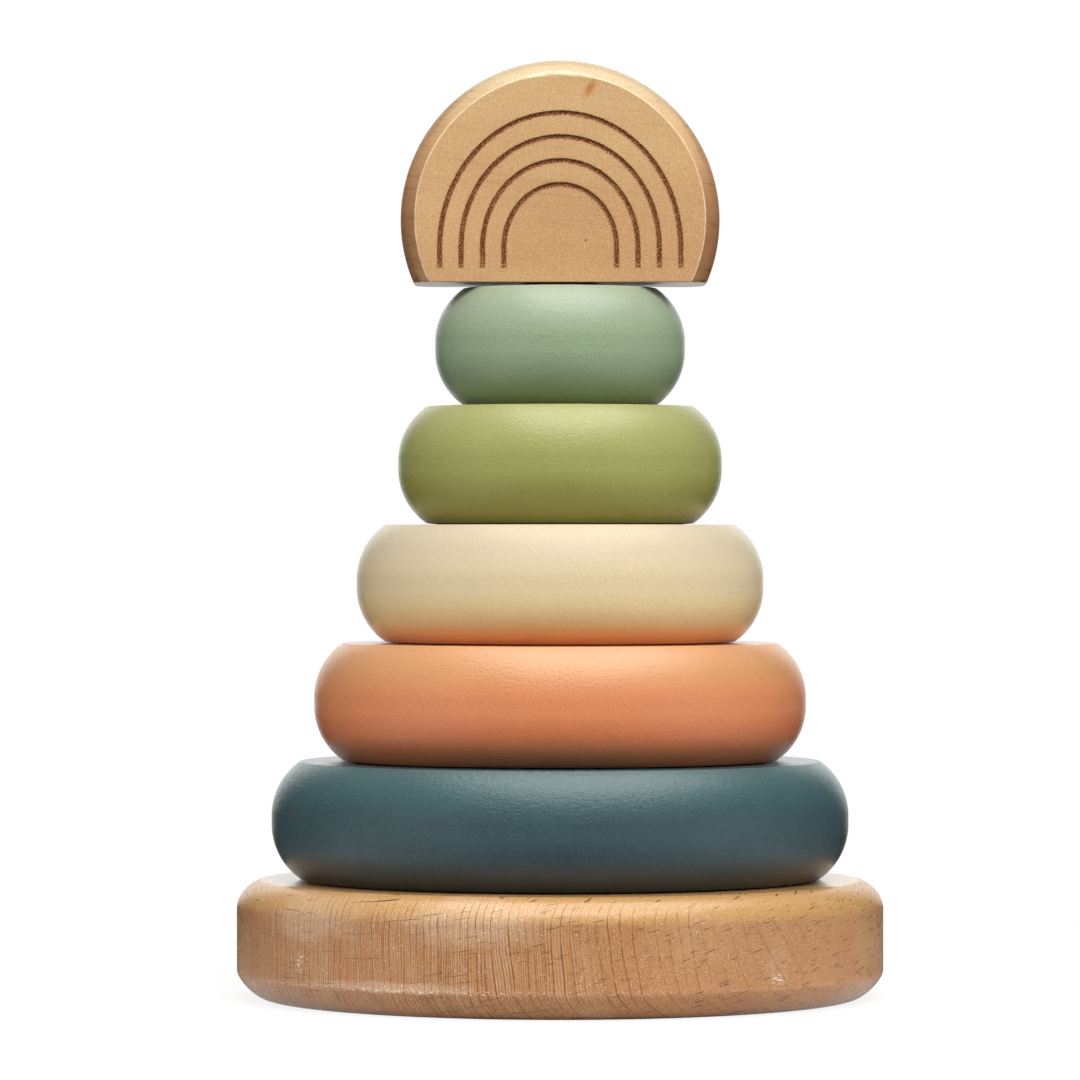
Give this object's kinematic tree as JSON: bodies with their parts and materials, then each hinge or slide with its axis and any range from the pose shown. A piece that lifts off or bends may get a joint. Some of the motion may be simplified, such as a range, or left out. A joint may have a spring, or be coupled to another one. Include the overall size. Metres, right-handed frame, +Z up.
{
  "type": "stacking tower",
  "caption": "Wooden stacking tower: a round base with a central peg, painted rings of falling size with rounded sides, and a half-round topper engraved with arches; all but the base lift off.",
  "frame": {"origin": "centre of the base's flat underside, on the peg's axis", "axes": "+Z up along the peg, -Y towards the topper's engraved front, +X to the right when that front is seen"},
  "size_m": [0.14, 0.14, 0.2022],
  "materials": {
    "base_beech": "beech under a clear satin lacquer",
    "peg_wood": "bare sanded dowel",
    "teal_paint": "satin dark teal paint on wood",
    "coral_paint": "satin coral paint on wood",
    "cream_paint": "satin cream paint on wood",
    "olive_paint": "satin olive green paint on wood",
    "sage_paint": "satin sage green paint on wood",
    "topper_wood": "fine pale wood, sanded and sealed, with burnt engraved lines"
  },
  "bodies": {
    "stand": {"base_disc": "base_beech", "peg": "peg_wood"},
    "teal": {"ring_teal": "teal_paint"},
    "coral": {"ring_coral": "coral_paint"},
    "cream": {"ring_cream": "cream_paint"},
    "olive": {"ring_olive": "olive_paint"},
    "sage": {"ring_sage": "sage_paint"},
    "topper": {"rainbow_topper": "topper_wood"}
  },
  "joints": [
    {"name": "lift_teal", "type": "slide", "parent": "stand", "child": "teal", "axis": [0, 0, 1], "range_m": [0, 0.158]},
    {"name": "lift_coral", "type": "slide", "parent": "teal", "child": "coral", "axis": [0, 0, 1], "range_m": [0, 0.132]},
    {"name": "lift_cream", "type": "slide", "parent": "coral", "child": "cream", "axis": [0, 0, 1], "range_m": [0, 0.107]},
    {"name": "lift_olive", "type": "slide", "parent": "cream", "child": "olive", "axis": [0, 0, 1], "range_m": [0, 0.081]},
    {"name": "lift_sage", "type": "slide", "parent": "olive", "child": "sage", "axis": [0, 0, 1], "range_m": [0, 0.056]},
    {"name": "lift_topper", "type": "slide", "parent": "sage", "child": "topper", "axis": [0, 0, 1], "range_m": [0, 0.03]}
  ]
}
